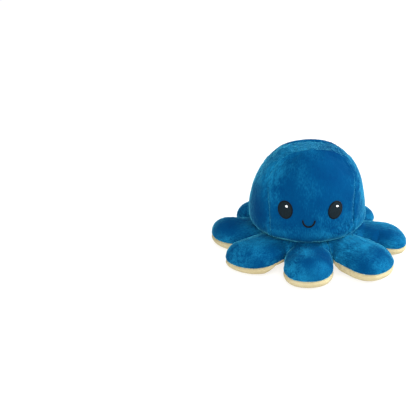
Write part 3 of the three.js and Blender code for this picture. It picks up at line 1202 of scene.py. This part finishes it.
def add_smile():
    """One line of satin stitch along a half oval, drawn in at both ends"""
    along_points, across_points = smile_points
    angle = np.linspace(-math.pi / 2, math.pi / 2, along_points)[:, None]
    share = np.linspace(-1, 1, across_points)[None, :]
    from_end = (math.pi / 2 - np.abs(angle)) / smile_taper
    end = np.sqrt(np.clip(from_end, smile_end_share ** 2, 1))
    out = share * end * smile_thread / 2
    points, normals = smile_place(angle, out)
    length = angle * (smile_half_width + smile_depth) / 2
    dome = smile_rise * np.sqrt(1 - smile_roundness * share ** 2) * np.ones_like(angle)
    dome += thread_rise * np.cos(2 * math.pi * (length / thread_pitch + thread_lean * share))
    grain = joined(out, length, 0)
    return add_stitches(
        "smile_stitch", points, normals, dome, -stitch_sink, grain, eye_border_thread)


def add_face():
    for name, side in (("left", -1), ("right", 1)):
        aside = side * eye_spacing / 2
        eye = add_patch(
            f"eye_{name}_stitch", aside, eye_height, eye_width, eye_tallness, side * eye_tilt,
            eye_cells, -eye_sink, eye_fill_thread, eye_border_share)
        stand_for(eye, f"eye_{name}", body="body")
        glint = add_patch(
            f"eye_{name}_glint_stitch", aside + glint_aside, eye_height + glint_above, glint_width,
            glint_tallness, glint_tilt, glint_cells, stitch_height - glint_sink, glint_thread)
        stand_for(glint, f"eye_{name}_glint", body="body")
    stand_for(add_smile(), "smile", body="body")


# Neck, base and filling

def add_capped(name, rings, low, high, material):
    """A closed solid of rings of points between two heights on the axis, which leans with the head"""
    count, sides = rings.shape[:2]
    first, last = count * sides, (count - 1) * sides
    points = np.concatenate([rings.reshape(-1, 3), leaned(joined(0, 0, np.array([low, high])))])
    faces = ring_faces(rings, closed=False)
    for side in range(sides):
        after = (side + 1) % sides
        faces.append((first, after, side))
        faces.append((last + side, last + after, first + 1))
    return add_mesh(name, points, faces, points, material)


def add_head_fill():
    """The ball of fibre in the head, which follows the covers at an inset"""
    heights = np.concatenate([
        np.linspace(head_fill_low, neck_height, fill_rings["neck"])[:-1],
        np.linspace(neck_height, head_widest_height, fill_rings["jaw"])[:-1],
        lerp(head_widest_height, head_top_height,
             np.sin(np.linspace(0, math.pi / 2, fill_rings["crown"])))])
    radius = np.where(heights < neck_height, band_radius_at(heights), head_radius_at(heights))
    outwards = unit(np.stack([np.gradient(heights), -np.gradient(radius)], -1))
    inset = (np.stack([radius, heights], -1) - head_fill_inset * outwards)[1:]
    inset = inset[inset[:, 0] > head_fill_tip]
    profile = np.concatenate([[(inset[0, 0], head_fill_bottom)], inset])
    rings = leaned(rings_round(profile, fill_sides))
    out = unit(rings - np.array([0, 0, hinge_height * 2]))
    rings += out * (fill_lump_depth * waves(rings / fill_lump_spacing, fill_seed))[..., None]
    fill = add_capped("head_fill", rings, head_fill_bottom, inset[-1, 1], stuffing_fibre)
    stand_for(fill, "head_stuffing", body="body")


def add_base():
    """The round bottom between the arms' undersides"""
    profile = np.array(base_outline_shares) * np.array([band_radius, base_thickness])
    rings = rings_round(profile[1:-1], base_sides)
    base = add_capped("base_cover", rings, profile[0, 1], profile[-1, 1], cream_plush)
    stand_for(base, "base_panel", body="body")


def add_neck():
    """The gathered band that the head, the arms and the base are sewn to"""
    height = np.linspace(neck_cover_low, neck_height - neck_cover_drop, neck_cover_rings)
    outside = np.stack([band_radius_at(height), height], -1)
    inside = outside[::-1] - np.array([neck_cover_thickness, 0])
    rings = rings_round(np.concatenate([outside, inside]), neck_cover_sides)
    turn = np.linspace(0, 2 * math.pi, neck_cover_sides, endpoint=False)
    rings += round_axis(neck_gather_depth * np.cos(turn * neck_gathers), turn, 0)
    neck = add_mesh("neck_cover", rings, ring_faces(rings, closed=True), rings, blue_plush)
    stand_for(neck, "neck_band", body="body")


def add_arm_fills():
    """The fibre in each arm, with a root that is rounded about the line the arm turns on"""
    for arm in arms:
        halves = [arm_half(arm, arm_fill_cells, up, arm_fill_inset, sewn=False) for up in (True, False)]
        for half in halves:
            behind = np.minimum(0, half[..., 0] - hinge_radius)
            cap = np.sqrt(np.maximum(0, (hinge_height - arm_fill_inset) ** 2 - behind ** 2))
            capped = np.clip(half[..., 2], hinge_height - cap, hinge_height + cap)
            half[..., 2] = np.where(behind < 0, capped, half[..., 2])
        upper, lower = [turned(half, arm.turn) for half in halves]
        fill = add_shell(f"{arm.body}_fill", upper, lower, halves[0], stuffing_fibre)
        stand_for(
            fill, f"{arm.body}_stuffing", body=arm.body)


# Stage

def add_floor():
    corners = [(x * floor_reach, y * floor_reach, 0) for x, y in ((-1, -1), (1, -1), (1, 1), (-1, 1))]
    mesh = bpy.data.meshes.new("floor")
    mesh.from_pydata(corners, [], [(0, 1, 2, 3)])
    mesh.materials.append(floor_paper)
    add_object("floor", mesh)


def add_lights():
    for name, place, settings in lights:
        light = add_object(name, bpy.data.lights.new(name, "AREA"), shape="DISK", **settings)
        light.location = place
        aim = Vector(light_target) - Vector(place)
        light.rotation_euler = aim.to_track_quat("-Z", "Y").to_euler()


def add_world():
    """A white surrounding that lights less than it shows"""
    world = bpy.data.worlds.new("studio")
    world.use_nodes = True
    tree = world.node_tree
    seen = add_node(tree, "ShaderNodeLightPath").outputs["Is Camera Ray"]
    strength = multiply_add(tree, seen, 1 - world_strength, world_strength)
    feed(tree, tree.nodes["Background"], {"Color": (1, 1, 1, 1), "Strength": strength})
    bpy.context.scene.world = world
    view = bpy.context.scene.view_settings
    view.view_transform = "Standard"
    view.look = "None"


def add_camera():
    """A camera without a shift, turned so that it sees the origin at its own pixel, and upright
    lines there upright"""
    tilt = math.radians(camera_tilt)
    place = Vector((0, -math.cos(tilt), math.sin(tilt))) * camera_distance * MM

    def axes(sight, upright):
        aside = sight.cross(upright).normalized()
        return Matrix((aside, sight, aside.cross(sight))).transposed()

    sight_in_view = Vector((origin_right, -origin_below, -focal_pixels)).normalized()
    in_view = axes(sight_in_view, Vector((0, 1, 0)))
    in_scene = axes(-place.normalized(), Vector((0, 0, 1)))
    camera = add_object(
        "camera", bpy.data.cameras.new("camera"), sensor_width=sensor_width,
        lens=focal_pixels / frame_pixels * sensor_width, clip_start=nearest_seen * MM)
    camera.matrix_world = Matrix.Translation(place) @ (in_scene @ in_view.transposed()).to_4x4()
    bpy.context.scene.camera = camera


add_camera()
add_world()
add_lights()
add_floor()
add_head()
add_arms()
add_face()
add_head_fill()
add_base()
add_neck()
add_arm_fills()
